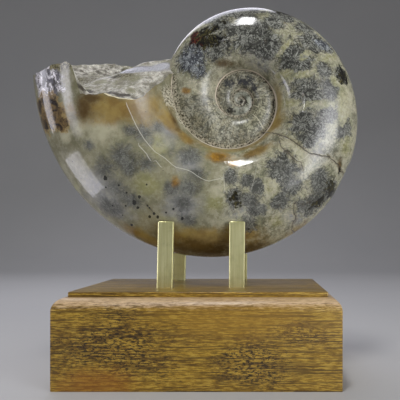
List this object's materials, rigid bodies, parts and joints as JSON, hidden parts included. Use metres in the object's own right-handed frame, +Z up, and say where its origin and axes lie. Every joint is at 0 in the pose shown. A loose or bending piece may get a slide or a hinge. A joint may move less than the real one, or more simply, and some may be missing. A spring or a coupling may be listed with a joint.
{
  "type": "ammonite fossil on stand",
  "caption": "Polished coiled ammonite fossil with a broken body chamber, held on edge between flat brass uprights on a wooden plinth with a routed edge.",
  "frame": {"origin": "centre of the plinth's underside, on the surface it stands on", "axes": "+Z up, -Y towards the viewer of the pictured side, +X to that viewer's right; the coil's axis lies along Y"},
  "size_m": [0.27, 0.1396, 0.2993],
  "materials": {
    "fossil": "polished",
    "wood": "satin",
    "brass": "satin"
  },
  "bodies": {
    "root": {"ammonite": "fossil", "plinth": "wood", "prong_front_left": "brass", "prong_front_right": "brass", "prong_back_left": "brass", "prong_back_right": "brass"}
  },
  "joints": []
}
